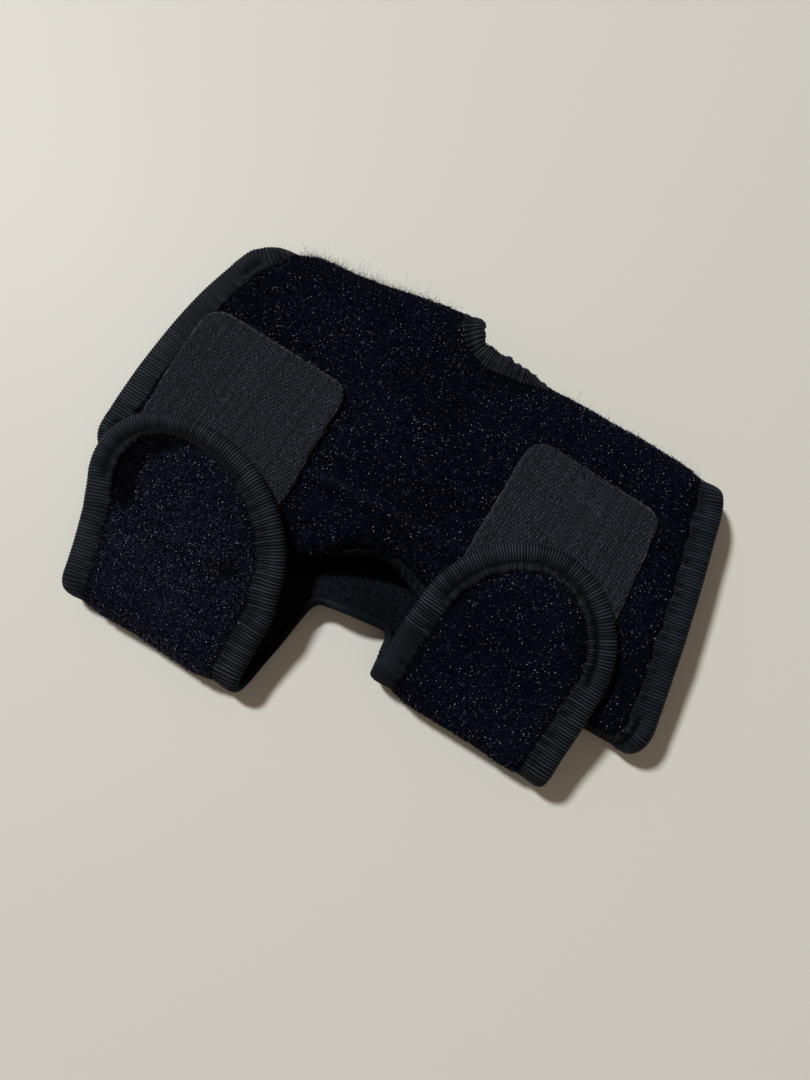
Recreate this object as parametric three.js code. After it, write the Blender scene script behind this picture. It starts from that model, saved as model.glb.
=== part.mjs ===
// Adjustable elbow support, lying folded and fastened on a flat surface.
//
// One foam-laminate panel (brushed loop cloth outside, plain lining inside) is
// folded round the arm hollow. The lower layer lies flat, turns up at the spine
// fold (+Y side) and comes back as the upper layer. Two straps run on from the
// lower layer, turn up at their own folds (-Y side) and lie on the upper layer,
// where hook tabs under their round ends hold on the loop cloth. A ribbed tape
// binds the whole outer edge, and a second one binds the elbow hole.
//
// Millimetres, +Z up. X runs along the arm, Y across it, from the strap folds
// to the spine. The panel is worked out in a flat domain (x, w), where w is
// the distance along the cloth, and is bent by cloth() into its folded form.

import * as THREE from "three";

// ---- named sizes -----------------------------------------------------------
const PANEL_THICK = 3.4; // foam laminate between its two faces
const EDGE_THICK = 1.4; // the same laminate, pressed flat inside the binding
const TAPE_THICK = 0.6; // binding tape
const TAPE_WIDTH = 9.0; // how far the tape reaches in from the panel's edge
const GAP = 0.3; // clearance between the tape and the panel
const TAB_THICK = 1.5; // hook tab
const TAB_GAP = 0.5; // clearance above and below a tab
const Z_LOW = PANEL_THICK / 2; // middle of the lower layer
const Y_FREE = -26.0; // upper layer's free edge
const Y_NOTCH = -36.0; // lower layer's edge between the straps
const HOLE = { x: 5.2, past_fold: 7.4, r: 14.4 }; // elbow hole, centred a little past the spine's outermost line
const ARCH = { x: 4.0, half: 40.0, height: 15.0 }; // elbow-crook arch in the free edge
const CURL = { x: 2.0, half: 17.0, drop: 8.0, y: -1.0, run: 16.0 }; // crease where the arch turns down
const CORNER_R = 10.6; // outer corners of the upper layer
const NOTCH_R = 4.0; // inner corners of the strap notch
const STEP = { edge: 6.4, hole: 4.1, cloth: 8.2, fold_density: 1.6 }; // facet sizes
const ORIGIN = { x: 0.515, y: 0.03 }; // the model's box centre, moved to the part's origin

// Sections along the arm: y_fold is the spine's outermost point, r_fold its bend,
// z_mid and z_free the upper layer's middle height half way and at its free edge.
const SECTIONS = [
  { x: -106, y_fold: 67.0, r_fold: 8.0, z_mid: 20.0, z_free: 17.0 },
  { x: -60, y_fold: 73.4, r_fold: 8.0, z_mid: 21.5, z_free: 18.5 },
  { x: -17, y_fold: 78.2, r_fold: 7.8, z_mid: 20.5, z_free: 17.0 },
  { x: 2, y_fold: 74.6, r_fold: 7.3, z_mid: 19.5, z_free: 15.5 },
  { x: 18, y_fold: 70.8, r_fold: 7.0, z_mid: 18.0, z_free: 14.0 },
  { x: 60, y_fold: 68.0, r_fold: 6.5, z_mid: 17.0, z_free: 13.0 },
  { x: 108, y_fold: 64.8, r_fold: 6.5, z_mid: 15.0, z_free: 12.0 },
];

// The two straps: fold is the outermost y of the strap's own fold at cx, slant its slope along x, r its bend,
// and the round end is half an ellipse (centre cx, cy, half width, height) that leans by lean.
const STRAPS = {
  left: { fold: -77.1, slant: -0.025, r: 5.6, cx: -62.7, cy: -36, half: 37.4, height: 30.2, lean: -0.28, power: 2.0 },
  right: { fold: -53.2, slant: -0.07, r: 6.4, cx: 52.6, cy: -20, half: 32.6, height: 34.8, lean: 0.05, power: 1.92 },
};

// Side edges of the panel: layer is upper, spine (outermost line of the fold), lower, turn (strap fold) or strap.
const RIGHT_EDGE = [
  { layer: "upper", y: -29.0, x: 108.2 },
  { layer: "upper", y: 20, x: 101.1 },
  { layer: "upper", y: 52, x: 95.6 },
  { layer: "spine", y: 0, x: 92.6 },
  { layer: "lower", y: 40, x: 94.5 },
  { layer: "lower", y: 0, x: 94.0 },
  { layer: "lower", y: -30, x: 86.5 },
  { layer: "turn", y: 0, x: 83.4 },
  { layer: "strap", y: -34, x: 84.6 },
];
const LEFT_EDGE = [
  { layer: "strap", y: -48, x: -96.2 },
  { layer: "turn", y: 0, x: -90.5 },
  { layer: "lower", y: -40, x: -86.5 },
  { layer: "lower", y: -6, x: -93.0 },
  { layer: "lower", y: 24, x: -96.0 },
  { layer: "lower", y: 50, x: -93.5 },
  { layer: "spine", y: 0, x: -88.0 },
  { layer: "upper", y: 57, x: -95.2 },
  { layer: "upper", y: 37, x: -99.8 },
  { layer: "upper", y: 13.7, x: -102.4 },
  { layer: "upper", y: -10, x: -104.8 },
  { layer: "upper", y: -28.0, x: -106.6 },
];
const RIGHT_STRAP_INNER = [
  { layer: "strap", y: -30, x: 18.6 },
  { layer: "turn", y: 0, x: 17.0 },
  { layer: "lower", y: Y_NOTCH + 2.6, x: 15.2 },
];
const LEFT_STRAP_INNER = [
  { layer: "lower", y: Y_NOTCH - 1, x: -13.6 },
  { layer: "turn", y: 0, x: -21.7 },
  { layer: "strap", y: -50, x: -22.0 },
];

// Hook tabs: x range, far end on its +X side, how much further it reaches on its -X side, how far they run back under the strap, corner radius.
const TABS = {
  left: { x0: -95.0, x1: -36.8, y_end: 30.6, slant: 4.6, y_root: -30, corner: 7, taper: 0.0 },
  right: { x0: 25.2, x1: 78.8, y_end: 44.4, slant: 4.0, y_root: -14, corner: 7, taper: 0.035 },
};

const LOOP_CLOTH = { color: 0x0b0c14, roughness: 0.95, metalness: 0 };
const TAPE_CLOTH = { color: 0x131517, roughness: 0.8, metalness: 0 };
const TAB_CLOTH = { color: 0x24262a, roughness: 0.75, metalness: 0 };

// ---- small helpers ---------------------------------------------------------
// Smooth curve through one column of a table, flat past its ends.
function column(table, key) {
  const x = table.map((r) => r.x), v = table.map((r) => r[key]), n = x.length;
  const slope = v.map((_, i) => {
    const a = Math.max(0, i - 1), b = Math.min(n - 1, i + 1);
    return (v[b] - v[a]) / (x[b] - x[a]);
  });
  return (at) => {
    if (at <= x[0]) return v[0] + slope[0] * (at - x[0]);
    if (at >= x[n - 1]) return v[n - 1] + slope[n - 1] * (at - x[n - 1]);
    let i = 0;
    while (at > x[i + 1]) i++;
    const h = x[i + 1] - x[i], t = (at - x[i]) / h, u = 1 - t;
    return v[i] * u * u * (1 + 2 * t) + v[i + 1] * t * t * (3 - 2 * t) + h * t * u * (slope[i] * u - slope[i + 1] * t);
  };
}
const yFold = column(SECTIONS, "y_fold");
const rFold = column(SECTIONS, "r_fold");
const zMid = column(SECTIONS, "z_mid");
const zFree = column(SECTIONS, "z_free");
const strapAt = (x) => (x < 0 ? STRAPS.left : STRAPS.right);

const spineY = (x) => yFold(x) - PANEL_THICK / 2 - rFold(x); // where the spine's bend starts
const turnY = (x) => strapAt(x).fold + strapAt(x).slant * (x - strapAt(x).cx) + PANEL_THICK / 2 + strapAt(x).r; // where a strap's bend starts

// Height of the upper layer's middle, with no crease.
function upperPlain(x, y) {
  const yc = spineY(x), q = (yc - y) / (yc - Y_FREE), top = Z_LOW + 2 * rFold(x);
  const m = zMid(x) - top, n = zFree(x) - top;
  return top + (8 * m - n) * q * q + (2 * n - 8 * m) * q * q * q;
}
// The same with the crease where the cloth turns down to the arch.
function upperZ(x, y) {
  const past = Math.max(0, (CURL.y - y) / CURL.run);
  return upperPlain(x, y) - CURL.drop * Math.exp(-(((x - CURL.x) / CURL.half) ** 2)) * past ** 1.6;
}
// Height of a strap's middle where it lies on the upper layer.
const ON_TOP = PANEL_THICK + TAB_THICK + 2 * TAB_GAP;
function strapZ(x, y) {
  const s = strapAt(x), y0 = turnY(x), y1 = -22, join = upperPlain(x, y1) + ON_TOP;
  if (y >= y1) return upperPlain(x, y) + ON_TOP;
  const h = y1 - y0, t = Math.max(0, (y - y0) / h), u = 1 - t;
  const m1 = (upperPlain(x, y1 + 0.5) - upperPlain(x, y1 - 0.5)) * h;
  return (Z_LOW + 2 * s.r) * u * u * (1 + 2 * t) + join * t * t * (3 - 2 * t) + t * u * (0.12 * h * u - m1 * t);
}

// Distance along the cloth of a point on a named layer.
const along = {
  upper: (x, y) => y - 2 * spineY(x) - Math.PI * rFold(x),
  spine: (x) => -spineY(x) - (Math.PI * rFold(x)) / 2,
  lower: (x, y) => -y,
  turn: (x) => -turnY(x) + (Math.PI * strapAt(x).r) / 2,
  strap: (x, y) => y - 2 * turnY(x) + Math.PI * strapAt(x).r,
};

// The panel's middle surface: (x, w) in the flat domain to a point in space.
function cloth(x, w) {
  const yc = spineY(x), r = rFold(x), back = -yc - w;
  if (back > 0) {
    if (back < Math.PI * r) return new THREE.Vector3(x, yc + r * Math.sin(back / r), Z_LOW + r * (1 - Math.cos(back / r)));
    const y = yc - (back - Math.PI * r);
    return new THREE.Vector3(x, y, upperZ(x, y));
  }
  const yt = turnY(x), rt = strapAt(x).r, on = w + yt;
  if (on > 0) {
    if (on < Math.PI * rt) return new THREE.Vector3(x, yt - rt * Math.sin(on / rt), Z_LOW + rt * (1 - Math.cos(on / rt)));
    const y = yt + (on - Math.PI * rt);
    return new THREE.Vector3(x, y, strapZ(x, y));
  }
  return new THREE.Vector3(x, -w, Z_LOW);
}
// Its unit normal, towards the loop face.
function clothNormal(x, w) {
  const e = 0.6;
  const dx = cloth(x + e, w).sub(cloth(x - e, w)), dw = cloth(x, w + e).sub(cloth(x, w - e));
  return dx.cross(dw).normalize();
}

// ---- the panel's outline in the flat domain --------------------------------
const flat = (rows) => rows.map((r) => new THREE.Vector2(r.x, along[r.layer](r.x, r.y)));
const spline = (rows) => new THREE.SplineCurve(flat(rows)).getSpacedPoints(160);

function freeEdge() {
  const a = LEFT_EDGE.at(-1), b = RIGHT_EDGE[0], points = [];
  for (let i = 0; i <= 160; i++) {
    const x = THREE.MathUtils.lerp(a.x, b.x, i / 160), d = Math.min(1, Math.abs(x - ARCH.x) / ARCH.half);
    const y = THREE.MathUtils.lerp(a.y, b.y, i / 160) + ARCH.height * (0.5 + 0.5 * Math.cos(Math.PI * d));
    points.push(new THREE.Vector2(x, along.upper(x, y)));
  }
  return points;
}
// A strap's round end, from its +X side over the tip to its -X side.
function roundEnd(s, from, to) {
  const points = [];
  for (let i = 0; i <= 90; i++) {
    const a = THREE.MathUtils.lerp(from, to, i / 90), c = Math.cos(a), v = Math.sin(a);
    const y = s.cy + s.height * Math.sign(v) * Math.abs(v) ** (2 / s.power);
    const x = s.cx + s.half * Math.sign(c) * Math.abs(c) ** (2 / s.power) + s.lean * (y - s.cy);
    points.push(new THREE.Vector2(x, along.strap(x, y)));
  }
  return points;
}
// Joins runs of points into one closed loop, with a round corner of each run's radius at its end.
function closeLoop(runs) {
  const trim = (points, r) => {
    let left = r, i = 0;
    while (i < points.length - 2 && points[i].distanceTo(points[i + 1]) < left) left -= points[i].distanceTo(points[i + 1]), i++;
    const cut = points[i].clone().lerp(points[i + 1], Math.min(1, left / points[i].distanceTo(points[i + 1])));
    return [cut, ...points.slice(i + 1)];
  };
  const loop = [];
  runs.forEach((run, i) => {
    const before = runs[(i + runs.length - 1) % runs.length], next = runs[(i + 1) % runs.length];
    let p = before.r ? trim(run.points, before.r) : run.points;
    if (run.r) p = trim([...p].reverse(), run.r).reverse();
    loop.push(...p);
    if (run.r) {
      const end = trim(next.points, run.r)[0], corner = run.points.at(-1).clone().add(next.points[0]).multiplyScalar(0.5);
      const a = p.at(-1), k = 0.5523; // the share of each leg that makes the curve a quarter circle
      loop.push(...new THREE.CubicBezierCurve(a, a.clone().lerp(corner, k), end.clone().lerp(corner, k), end).getPoints(12).slice(1, -1));
    }
  });
  return loop.filter((p, i) => p.distanceTo(loop[(i + 1) % loop.length]) > 1e-3);
}
const endRight = roundEnd(STRAPS.right, 0, Math.PI), endLeft = roundEnd(STRAPS.left, -0.12, Math.PI);
const outline = closeLoop([
  { points: freeEdge(), r: CORNER_R },
  { points: spline(RIGHT_EDGE), r: 0 },
  { points: endRight, r: 0 },
  { points: spline(RIGHT_STRAP_INNER), r: NOTCH_R },
  { points: flat([{ layer: "lower", y: Y_NOTCH + 2.6, x: 15.2 }, { layer: "lower", y: Y_NOTCH - 1, x: -13.6 }]), r: NOTCH_R },
  { points: spline(LEFT_STRAP_INNER), r: 0 },
  { points: endLeft, r: 0 },
  { points: spline(LEFT_EDGE), r: CORNER_R },
]);
const holeW = along.spine(HOLE.x) + HOLE.past_fold;

// ---- triangulating the flat panel ------------------------------------------
// Facets are finer across the folds: density() stretches w there before triangulating.
const DENSE = [
  { from: -100, to: -56 },
  { from: 42, to: 94 },
];
function density(w) {
  let m = w;
  for (const d of DENSE) m += (STEP.fold_density - 1) * THREE.MathUtils.clamp(w - d.from, 0, d.to - d.from);
  return m;
}
const metric = (p) => new THREE.Vector2(p.x, density(p.y));

// Even steps along a closed loop, measured in the stretched domain.
function evenly(loop, step) {
  const closed = [...loop, loop[0]], sums = [0];
  for (let i = 1; i < closed.length; i++) sums.push(sums[i - 1] + metric(closed[i]).distanceTo(metric(closed[i - 1])));
  const n = Math.round(sums.at(-1) / step), out = [];
  for (let k = 0, i = 0; k < n; k++) {
    const at = (sums.at(-1) * k) / n;
    while (sums[i + 1] < at) i++;
    out.push(closed[i].clone().lerp(closed[i + 1], (at - sums[i]) / (sums[i + 1] - sums[i])));
  }
  return out;
}
function inside(p, loop) {
  let odd = false;
  for (let i = 0, j = loop.length - 1; i < loop.length; j = i++) {
    const a = loop[i], b = loop[j];
    if (a.y > p.y !== b.y > p.y && p.x < ((b.x - a.x) * (p.y - a.y)) / (b.y - a.y) + a.x) odd = !odd;
  }
  return odd;
}
function distanceTo(p, loop) {
  let best = Infinity;
  for (let i = 0, j = loop.length - 1; i < loop.length; j = i++) {
    const ab = loop[i].clone().sub(loop[j]), t = THREE.MathUtils.clamp(p.clone().sub(loop[j]).dot(ab) / ab.lengthSq(), 0, 1);
    best = Math.min(best, p.distanceTo(loop[j].clone().addScaledVector(ab, t)));
  }
  return best;
}
// Unit direction into the cloth at each point of a loop that keeps the cloth on its left.
function inward(loop) {
  return loop.map((_, i) => {
    const a = loop[(i + loop.length - 1) % loop.length], b = loop[(i + 1) % loop.length], t = b.clone().sub(a).normalize();
    return new THREE.Vector2(-t.y, t.x);
  });
}
// Delaunay triangles of a set of points (Bowyer-Watson).
function delaunay(points) {
  const all = [...points, new THREE.Vector2(-3e3, -3e3), new THREE.Vector2(3e3, -3e3), new THREE.Vector2(0, 3e3)], n = points.length;
  const circle = (a, b, c) => {
    const A = all[a], B = all[b], C = all[c];
    const d = 2 * (A.x * (B.y - C.y) + B.x * (C.y - A.y) + C.x * (A.y - B.y)), a2 = A.lengthSq(), b2 = B.lengthSq(), c2 = C.lengthSq();
    const x = (a2 * (B.y - C.y) + b2 * (C.y - A.y) + c2 * (A.y - B.y)) / d, y = (a2 * (C.x - B.x) + b2 * (A.x - C.x) + c2 * (B.x - A.x)) / d;
    return { v: d > 0 ? [a, b, c] : [a, c, b], x, y, r2: (A.x - x) ** 2 + (A.y - y) ** 2 };
  };
  let tris = [circle(n, n + 1, n + 2)];
  for (let i = 0; i < n; i++) {
    const p = all[i], edges = new Map(), kept = [];
    for (const t of tris) {
      if ((p.x - t.x) ** 2 + (p.y - t.y) ** 2 >= t.r2) { kept.push(t); continue; }
      for (let k = 0; k < 3; k++) {
        const a = t.v[k], b = t.v[(k + 1) % 3], back = b + "," + a;
        if (edges.has(back)) edges.delete(back);
        else edges.set(a + "," + b, [a, b]);
      }
    }
    for (const [a, b] of edges.values()) kept.push(circle(a, b, i));
    tris = kept;
  }
  return tris.map((t) => t.v).filter((v) => v.every((k) => k < n));
}

const edgeLoop = evenly(outline, STEP.edge);
const holeLoop = evenly(
  Array.from({ length: 180 }, (_, i) => new THREE.Vector2(HOLE.x + HOLE.r * Math.cos((i * Math.PI) / 90), holeW - HOLE.r * Math.sin((i * Math.PI) / 90))),
  STEP.hole,
);
const edgeIn = inward(edgeLoop), holeIn = inward(holeLoop);
const RING = TAPE_WIDTH + 0.7; // the laminate is pressed flat up to here

const edgeRing = edgeLoop.map((p, i) => p.clone().addScaledVector(edgeIn[i], RING));
const holeRing = holeLoop.map((p, i) => p.clone().addScaledVector(holeIn[i], RING));

// Points of the full-thickness field, in staggered rows inside the two rings.
function fieldPoints() {
  const points = [], ms = edgeRing.map((p) => density(p.y)), low = Math.min(...ms), high = Math.max(...ms);
  const wOf = (m) => { let a = -400, b = 400; for (let i = 0; i < 50; i++) { const c = (a + b) / 2; if (density(c) < m) a = c; else b = c; } return a; };
  for (let m = low, row = 0; m < high; m += STEP.cloth * 0.87, row++)
    for (let x = -120 + (row % 2) * STEP.cloth * 0.5; x < 120; x += STEP.cloth) {
      const p = new THREE.Vector2(x, wOf(m));
      if (inside(p, edgeRing) && !inside(p, holeRing) && Math.min(distanceTo(p, edgeRing), distanceTo(p, holeRing)) > 3.8) points.push(p);
    }
  return points;
}

// ---- solids ----------------------------------------------------------------
function solid(vertices, triangles) {
  const g = new THREE.BufferGeometry();
  g.setAttribute("position", new THREE.Float32BufferAttribute(vertices.flatMap((v) => [v.x, v.y, v.z]), 3));
  g.setIndex(triangles.flat());
  g.computeVertexNormals();
  return g;
}

function panelGeometry() {
  const inner = [...edgeRing, ...holeRing, ...fieldPoints()], points = [...inner, ...edgeLoop, ...holeLoop], n = points.length;
  const pressed = edgeRing.length + holeRing.length;
  const thick = (i) => (i < pressed || i >= inner.length ? EDGE_THICK : PANEL_THICK) / 2;
  const vertices = [1, -1].flatMap((side) => points.map((p, i) => cloth(p.x, p.y).addScaledVector(clothNormal(p.x, p.y), side * thick(i))));
  const faces = [];
  const spread = inner.map(metric), outer = edgeRing.map(metric), hole = holeRing.map(metric);
  for (const [a, b, c] of delaunay(spread)) {
    const mid = spread[a].clone().add(spread[b]).add(spread[c]).divideScalar(3);
    if (inside(mid, outer) && !inside(mid, hole)) faces.push([a, b, c], [n + a, n + c, n + b]);
  }
  // The pressed strip under the tape and the cut edge itself.
  let ringAt = 0, loopAt = inner.length;
  for (const loop of [edgeLoop, holeLoop]) {
    for (let i = 0; i < loop.length; i++) {
      const k = (i + 1) % loop.length, e0 = loopAt + i, e1 = loopAt + k, r0 = ringAt + i, r1 = ringAt + k;
      faces.push([e0, e1, r1], [e0, r1, r0], [n + e0, n + r0, n + e1], [n + e1, n + r0, n + r1], [e0, n + e0, n + e1], [e0, n + e1, e1]);
    }
    ringAt += loop.length;
    loopAt += loop.length;
  }
  return solid(vertices, faces);
}

// The folded tape: a U section carried round a closed loop of the flat domain.
function bindingGeometry(loop, into) {
  const h1 = EDGE_THICK / 2 + GAP, h2 = h1 + TAPE_THICK, out = -(GAP + TAPE_THICK);
  const section = [
    { d: TAPE_WIDTH, h: h2 }, { d: out, h: h2 }, { d: out, h: -h2 }, { d: TAPE_WIDTH, h: -h2 },
    { d: TAPE_WIDTH, h: -h1 }, { d: -GAP, h: -h1 }, { d: -GAP, h: h1 }, { d: TAPE_WIDTH, h: h1 },
  ];
  const vertices = loop.flatMap((p, i) => {
    const edge = cloth(p.x, p.y), far = p.clone().addScaledVector(into[i], RING), tip = cloth(far.x, far.y);
    const n0 = clothNormal(p.x, p.y), n1 = clothNormal(far.x, far.y);
    return section.map(({ d, h }) => {
      const past = p.clone().addScaledVector(into[i], d), at = d < 0 ? cloth(past.x, past.y) : edge.clone().lerp(tip, d / RING);
      return at.addScaledVector(n0.clone().lerp(n1, Math.max(0, d / RING)), h);
    });
  });
  const k = section.length, faces = [];
  loop.forEach((_, i) => {
    const a = i * k, b = ((i + 1) % loop.length) * k;
    for (let j = 0; j < k; j++) {
      const j2 = (j + 1) % k;
      faces.push([a + j, a + j2, b + j2], [a + j, b + j2, b + j]);
    }
  });
  return solid(vertices, faces);
}

// A hook tab: a plate that lies on the upper layer and runs back under the strap's end.
function tabGeometry(t) {
  const r = t.corner, half = (t.x1 - t.x0) / 2, mid = (t.x0 + t.x1) / 2, vertices = [], faces = [];
  const side0 = [half, half - 0.08 * r, half - 0.3 * r, half - r, half / 3]; // columns, closer where the corners are round
  const columns = [...side0.map((c) => -c), ...side0.reverse()], nx = columns.length - 1, ny = 9;
  for (const side of [1, -1])
    for (let j = 0; j <= ny; j++)
      for (let i = 0; i <= nx; i++) {
        const v = j / ny, u = columns[i] / half;
        let y = THREE.MathUtils.lerp(t.y_root, t.y_end + (t.slant * (1 - u)) / 2, v);
        const over = Math.max(0, Math.abs(u) * half - (half - r)); // rounds the two far corners
        if (over > 0) y -= (r - Math.sqrt(Math.max(0, r * r - over * over))) * v ** 3;
        const x = mid + u * half * (1 - t.taper * (2 * v - 1));
        const e = 0.5, sx = (upperPlain(x + e, y) - upperPlain(x - e, y)) / (2 * e), sy = (upperPlain(x, y + e) - upperPlain(x, y - e)) / (2 * e);
        const n = new THREE.Vector3(-sx, -sy, 1).normalize(), lift = PANEL_THICK / 2 + TAB_GAP + TAB_THICK / 2 + (side * TAB_THICK) / 2;
        vertices.push(new THREE.Vector3(x, y, upperPlain(x, y)).addScaledVector(n, lift));
      }
  const w = nx + 1, n = w * (ny + 1), at = (i, j) => j * w + i;
  for (let j = 0; j < ny; j++)
    for (let i = 0; i < nx; i++) {
      const a = at(i, j), b = at(i + 1, j), c = at(i + 1, j + 1), d = at(i, j + 1);
      faces.push([a, b, c], [a, c, d], [n + a, n + c, n + b], [n + a, n + d, n + c]);
    }
  const rim = [];
  for (let i = 0; i < nx; i++) rim.push(at(i, 0));
  for (let j = 0; j < ny; j++) rim.push(at(nx, j));
  for (let i = nx; i > 0; i--) rim.push(at(i, ny));
  for (let j = ny; j > 0; j--) rim.push(at(0, j));
  rim.forEach((a, i) => {
    const b = rim[(i + 1) % rim.length];
    faces.push([a, n + a, n + b], [a, n + b, b]);
  });
  return solid(vertices, faces);
}

// ---- the assembly ----------------------------------------------------------
const support = new THREE.Group();
function piece(name, geometry, look) {
  const mesh = new THREE.Mesh(geometry, new THREE.MeshStandardMaterial(look));
  mesh.name = name;
  mesh.position.set(-ORIGIN.x, -ORIGIN.y, 0);
  support.add(mesh);
}
piece("wrap_panel", panelGeometry(), LOOP_CLOTH);
piece("edge_binding", bindingGeometry(edgeLoop, edgeIn), TAPE_CLOTH);
piece("elbow_hole_binding", bindingGeometry(holeLoop, holeIn), TAPE_CLOTH);
piece("hook_tab_left", tabGeometry(TABS.left), TAB_CLOTH);
piece("hook_tab_right", tabGeometry(TABS.right), TAB_CLOTH);

export default support;
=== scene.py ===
"""Looks of the folded elbow support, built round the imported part. Lengths in the tables are millimetres; meshes are metres."""

import math

import bpy
import numpy as np
from mathutils import Matrix
from mathutils.geometry import delaunay_2d_cdt


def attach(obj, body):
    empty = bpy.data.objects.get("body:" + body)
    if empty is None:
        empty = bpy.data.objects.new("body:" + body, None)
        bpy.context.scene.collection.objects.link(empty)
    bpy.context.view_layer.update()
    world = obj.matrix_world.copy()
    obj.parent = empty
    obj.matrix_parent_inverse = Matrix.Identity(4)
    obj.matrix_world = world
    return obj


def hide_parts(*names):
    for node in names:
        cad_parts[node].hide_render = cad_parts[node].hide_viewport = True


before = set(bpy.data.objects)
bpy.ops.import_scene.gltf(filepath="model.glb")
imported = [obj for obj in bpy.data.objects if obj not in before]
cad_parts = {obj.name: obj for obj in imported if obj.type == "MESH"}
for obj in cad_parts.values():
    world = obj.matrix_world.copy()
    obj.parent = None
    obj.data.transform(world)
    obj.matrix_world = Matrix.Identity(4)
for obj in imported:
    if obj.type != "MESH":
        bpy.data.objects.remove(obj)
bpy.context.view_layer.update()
MM = 0.001
RNG = np.random.default_rng(41)

# ---- sizes, as in the part ---------------------------------------------------
PANEL_THICK, TAPE_WIDTH, TAB_THICK, TAB_GAP = 3.4, 9.0, 1.5, 0.5
Z_LOW = PANEL_THICK / 2
Y_FREE, Y_NOTCH = -26.0, -36.0
ARCH = dict(x=4.0, half=40.0, height=15.0)
CURL = dict(x=2.0, half=17.0, drop=8.0, y=-1.0, run=16.0)
CORNER_R, NOTCH_R = 8.2, 4.0
ROLL = dict(x0=-34.0, x1=27.0, fade=11.0, r=5.2)  # the arch rolls under between the straps
ORIGIN = np.array([0.515, 0.03, 0.0])

# x, y_fold, r_fold, z_mid, z_free: sections along the arm
SECTIONS = np.array([
    (-106, 67.0, 8.0, 20.0, 17.0),
    (-60, 73.4, 8.0, 21.5, 18.5),
    (-24, 78.0, 7.9, 20.7, 17.3),
    (-12.5, 80.3, 7.8, 20.2, 16.7),
    (2, 76.0, 7.3, 19.5, 15.5),
    (18, 70.8, 7.0, 18.0, 14.0),
    (60, 68.0, 6.5, 17.0, 13.0),
    (108, 64.8, 6.5, 15.0, 12.0),
])
STRAPS = dict(
    left=dict(fold=-77.1, slant=-0.025, r=5.6, cx=-62.7, cy=-36, half=37.4, height=30.2, lean=-0.28, power=2.0),
    right=dict(fold=-53.2, slant=-0.07, r=6.4, cx=52.6, cy=-20, half=32.6, height=34.8, lean=0.05, power=1.92),
)
# layer, y, x: the panel's side edges
RIGHT_EDGE = [
    ("upper", -29.0, 108.2), ("upper", 20, 101.1), ("upper", 52, 95.6), ("spine", 0, 92.6), ("lower", 40, 94.5),
    ("lower", 0, 94.0), ("lower", -30, 86.5), ("turn", 0, 83.4), ("strap", -34, 84.6),
]
LEFT_EDGE = [
    ("strap", -48, -96.2), ("turn", 0, -90.5), ("lower", -40, -86.5), ("lower", -6, -93.0), ("lower", 24, -96.0), ("lower", 50, -93.5),
    ("spine", 0, -88.0), ("upper", 57, -95.8), ("upper", 37, -101.4), ("upper", 13.7, -104.2), ("upper", -10, -105.8), ("upper", -28.0, -106.8),
]
RIGHT_STRAP_INNER = [("strap", -30, 18.6), ("turn", 0, 17.0), ("lower", Y_NOTCH + 2.6, 15.2)]
LEFT_STRAP_INNER = [("lower", Y_NOTCH - 1, -13.6), ("turn", 0, -21.7), ("strap", -50, -22.0)]
TABS = dict(
    left=dict(x0=-95.0, x1=-36.8, y_end=30.6, slant=4.6, y_root=-30, corners=(8.6, 6.0), taper=0.0, ribs=71, skew=-5.7),
    right=dict(x0=25.2, x1=78.8, y_end=44.4, slant=4.0, y_root=-14, corners=(8.0, 6.4), taper=0.035, ribs=69, skew=-2.6),
)
RIB_PITCH = 1.1  # ribs of the binding tape


# ---- the folded surface ------------------------------------------------------
def column(k):
    x, v = SECTIONS[:, 0], SECTIONS[:, k]
    a, b = np.maximum(np.arange(len(x)) - 1, 0), np.minimum(np.arange(len(x)) + 1, len(x) - 1)
    slope = (v[b] - v[a]) / (x[b] - x[a])

    def at(q):
        q = np.asarray(q, float)
        i = np.clip(np.searchsorted(x, q, side="left") - 1, 0, len(x) - 2)
        h = x[i + 1] - x[i]
        t = (q - x[i]) / h
        u = 1 - t
        mid = v[i] * u * u * (1 + 2 * t) + v[i + 1] * t * t * (3 - 2 * t) + h * t * u * (slope[i] * u - slope[i + 1] * t)
        return np.where(q <= x[0], v[0] + slope[0] * (q - x[0]), np.where(q >= x[-1], v[-1] + slope[-1] * (q - x[-1]), mid))

    return at


y_fold, r_fold, z_mid, z_free = column(1), column(2), column(3), column(4)


def strap(x, key):
    return np.where(np.asarray(x) < 0, STRAPS["left"][key], STRAPS["right"][key])


def spine_y(x):
    return y_fold(x) - PANEL_THICK / 2 - r_fold(x)


def turn_y(x):
    return strap(x, "fold") + strap(x, "slant") * (x - strap(x, "cx")) + PANEL_THICK / 2 + strap(x, "r")


def upper_plain(x, y):
    yc = spine_y(x)
    q = (yc - y) / (yc - Y_FREE)
    top = Z_LOW + 2 * r_fold(x)
    m, n = z_mid(x) - top, z_free(x) - top
    return top + (8 * m - n) * q * q + (2 * n - 8 * m) * q * q * q


def smooth(a, b, v):
    t = np.clip((v - a) / (b - a), 0, 1)
    return t * t * (3 - 2 * t)


def free_y(x):
    (_, ya, xa), (_, yb, xb) = LEFT_EDGE[-1], RIGHT_EDGE[0]
    d = np.minimum(1, np.abs(x - ARCH["x"]) / ARCH["half"])
    return ya + (yb - ya) * (x - xa) / (xb - xa) + ARCH["height"] * (0.5 + 0.5 * np.cos(math.pi * d))


def roll_share(x):
    arch = smooth(ROLL["x0"] - ROLL["fade"], ROLL["x0"], x) * (1 - smooth(ROLL["x1"], ROLL["x1"] + ROLL["fade"], x))
    return np.maximum(1e-3, np.maximum(arch, smooth(66, 78, x)))


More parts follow.
